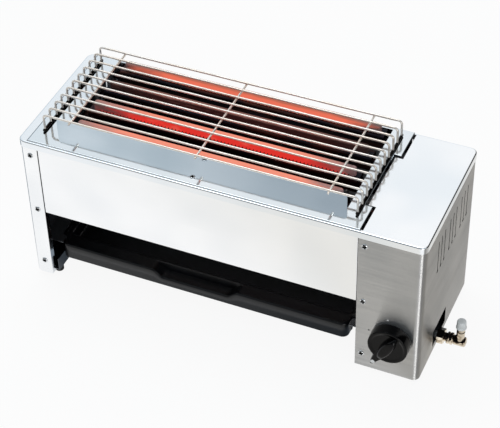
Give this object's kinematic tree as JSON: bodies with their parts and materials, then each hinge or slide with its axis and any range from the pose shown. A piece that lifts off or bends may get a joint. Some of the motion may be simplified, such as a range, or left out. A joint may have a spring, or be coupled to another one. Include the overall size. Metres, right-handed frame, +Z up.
{
  "type": "tabletop gas grill",
  "caption": "Tabletop gas grill with ceramic radiant burners, a lift-off wire grid, a slide-out drip tray and a control box with a knob.",
  "frame": {"origin": "on the counter, at the middle of the whole object's footprint", "axes": "+X towards the control box and gas inlet, +Y to the back, +Z up"},
  "size_m": [0.6, 0.2326, 0.2695],
  "materials": {
    "casing_steel": "bright annealed stainless, softly mirror-like",
    "plate_steel": "bright stainless",
    "housing_steel": "brushed stainless",
    "inner_steel": "galvanised, dull",
    "burner_steel": "heat-tinted stainless",
    "radiant_ceramic": "glowing orange-red, matt",
    "radiant_dim": "dark red-brown, matt",
    "tray_enamel": "black enamel, glossy",
    "grid_chrome": "bright plated wire",
    "pipe_steel": "plain steel pipe",
    "valve_brass": "machined brass",
    "fitting_nickel": "nickel plated brass",
    "cap_plastic": "pale vinyl",
    "knob_plastic": "satin black",
    "dot_paint": "white print",
    "igniter_plastic": "dark grey",
    "plunger_plastic": "white",
    "insulator_ceramic": "white glaze",
    "electrode_steel": "heat-resisting wire",
    "lead_rubber": "red silicone sleeve",
    "foot_rubber": "black rubber",
    "screw_steel": "bright screws"
  },
  "bodies": {
    "grill": {"back_panel": "casing_steel", "back_screws": "screw_steel", "burner_back": "burner_steel", "burner_bracket": "inner_steel", "burner_front": "burner_steel", "burner_second": "burner_steel", "burner_third": "burner_steel", "control_floor": "inner_steel", "control_housing": "housing_steel", "control_partition": "inner_steel", "drip_plate": "plate_steel", "electrode_insulator": "insulator_ceramic", "electrode_rod": "electrode_steel", "fat_shield_back": "inner_steel", "fat_shield_front": "inner_steel", "foot_back_left": "foot_rubber", "foot_back_right": "foot_rubber", "foot_front_left": "foot_rubber", "foot_front_right": "foot_rubber", "front_panel": "casing_steel", "front_screws": "screw_steel", "gas_jets": "valve_brass", "gas_manifold": "pipe_steel", "gas_valve": "valve_brass", "igniter": "igniter_plastic", "ignition_lead": "lead_rubber", "inlet_pipe": "pipe_steel", "left_chassis": "inner_steel", "left_end_cover": "casing_steel", "manifold_straps": "inner_steel", "plate_screw": "screw_steel", "radiant_back": "radiant_ceramic", "radiant_front": "radiant_ceramic", "radiant_second": "radiant_ceramic", "radiant_third": "radiant_dim", "supply_pipe": "pipe_steel", "top_frame": "casing_steel", "tray_runner_left": "inner_steel", "tray_runner_right": "inner_steel", "union_nut": "fitting_nickel", "valve_bracket": "inner_steel"},
    "push_collar": {"push_collar": "valve_brass", "igniter_plunger": "plunger_plastic"},
    "knob": {"knob": "knob_plastic", "valve_stem": "valve_brass", "knob_dot": "dot_paint"},
    "tray": {"drip_tray": "tray_enamel"},
    "grid": {"grid_wires": "grid_chrome", "grid_legs": "grid_chrome", "grid_rods": "grid_chrome", "grid_bars": "grid_chrome"},
    "inlet_elbow": {"inlet_elbow": "fitting_nickel"},
    "inlet_cap": {"inlet_cap": "cap_plastic"}
  },
  "joints": [
    {"name": "knob_push", "type": "slide", "parent": "grill", "child": "push_collar", "axis": [0, 1, 0], "range_m": [0, 0.003], "stiffness_N_per_m": 1500, "springref_m": -0.002},
    {"name": "knob_turn", "type": "hinge", "parent": "push_collar", "child": "knob", "pos_m": [0.222, -0.08825, 0.075], "axis": [0, 1, 0], "range_deg": [0, 150]},
    {"name": "tray_slide", "type": "slide", "parent": "grill", "child": "tray", "axis": [0, -1, 0], "range_m": [0, 0.165]},
    {"name": "grid_lift", "type": "slide", "parent": "grill", "child": "grid", "axis": [0, 0, 1], "range_m": [0, 0.06]},
    {"name": "elbow_swivel", "type": "hinge", "parent": "grill", "child": "inlet_elbow", "pos_m": [0.28, -0.01725, 0.028], "axis": [1, 0, 0], "range_deg": [-90, 90]},
    {"name": "cap_pull", "type": "slide", "parent": "inlet_elbow", "child": "inlet_cap", "axis": [0, 0, 1], "range_m": [0, 0.015]}
  ]
}
